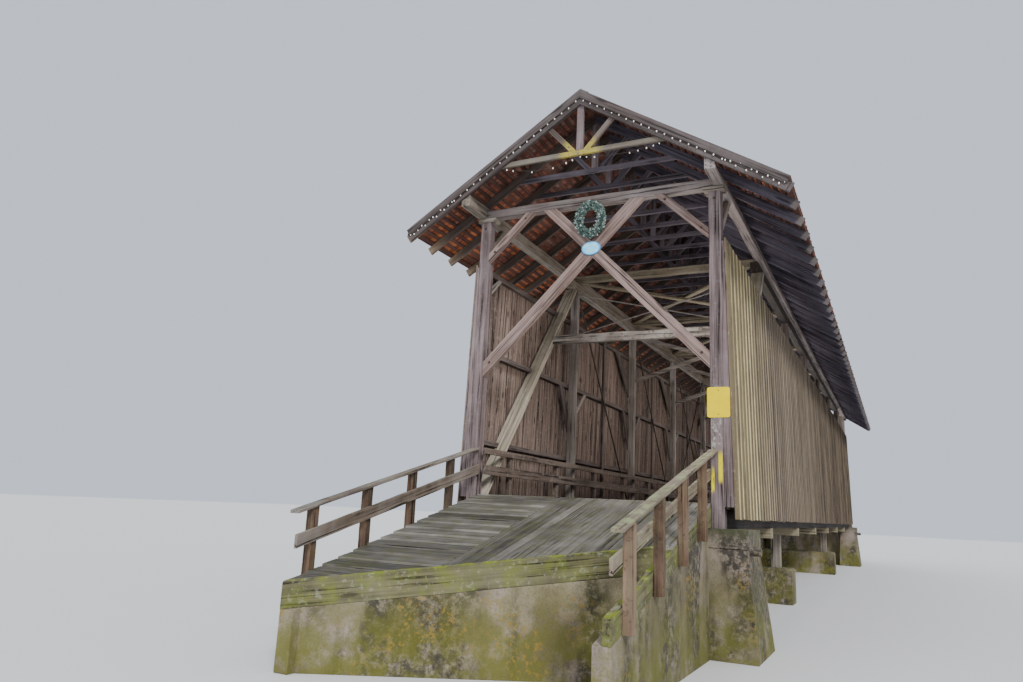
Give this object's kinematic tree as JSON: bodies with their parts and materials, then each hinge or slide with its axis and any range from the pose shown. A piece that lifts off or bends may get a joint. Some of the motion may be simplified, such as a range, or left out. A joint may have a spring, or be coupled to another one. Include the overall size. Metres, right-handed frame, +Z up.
{
  "type": "covered timber bridge",
  "caption": "Roofed timber truss footbridge with boarded sides, braced open portals, railed plank ramps and battered concrete piers.",
  "frame": {"origin": "centre of the bounding box's underside, on the level ground the piers stand on, midway between the two portals", "axes": "+X to the right as seen from in front of the near portal, +Y along the bridge away from the near portal, +Z up"},
  "size_m": [6.7076, 39.4588, 8.9361],
  "materials": {
    "frame_timber": "old stained timber, dull brown",
    "roof_timber": "old stained timber, warm brown",
    "roof_boards": "red-brown skip boards under shingles",
    "grey_planks": "weathered grey-green planks",
    "wall_boards": "old red-brown stain on boards and battens",
    "concrete": "weathered board-marked concrete",
    "iron": "dark dull iron",
    "sign_plate": "yellow enamelled sheet",
    "plaque": "sky-blue paint",
    "greenery": "artificial evergreen twigs"
  },
  "bodies": {
    "root": {"floor_beams": "frame_timber", "bottom_chords": "frame_timber", "deck_joists": "frame_timber", "end_posts": "frame_timber", "truss_posts": "frame_timber", "top_chords": "frame_timber", "top_struts": "frame_timber", "sway_beams": "frame_timber", "sway_braces": "frame_timber", "lower_laterals": "frame_timber", "upper_laterals": "frame_timber", "wall_girts": "frame_timber", "wall_studs": "frame_timber", "girt_knees": "frame_timber", "wall_plates": "frame_timber", "portal_posts": "frame_timber", "portal_side_studs": "frame_timber", "portal_bolsters": "frame_timber", "portal_crossbeams": "frame_timber", "rising_braces": "frame_timber", "falling_braces": "frame_timber", "portal_knees": "frame_timber", "plate_knees": "frame_timber", "bent_posts": "frame_timber", "right_rafters": "roof_timber", "left_rafters": "roof_timber", "collar_ties": "roof_timber", "king_posts": "roof_timber", "fan_struts": "roof_timber", "right_roof": "roof_boards", "left_roof": "roof_boards", "ridge_cap": "roof_boards", "deck_planks": "grey_planks", "inner_rail_posts": "grey_planks", "inner_rails": "grey_planks", "ramp_decks": "grey_planks", "ramp_stringers": "grey_planks", "ramp_kerbs": "grey_planks", "ramp_rail_posts": "grey_planks", "ramp_handrails": "grey_planks", "ramp_rail_boards": "grey_planks", "left_siding": "wall_boards", "right_siding": "wall_boards", "gable_boards": "wall_boards", "piers": "concrete", "abutments": "concrete", "bent_footings": "concrete", "ramp_side_walls": "concrete", "ramp_foot_walls": "concrete", "truss_rods": "iron", "sway_rods": "iron", "warning_sign": "sign_plate", "portal_plaque": "plaque", "wreath": "greenery"}
  },
  "joints": []
}
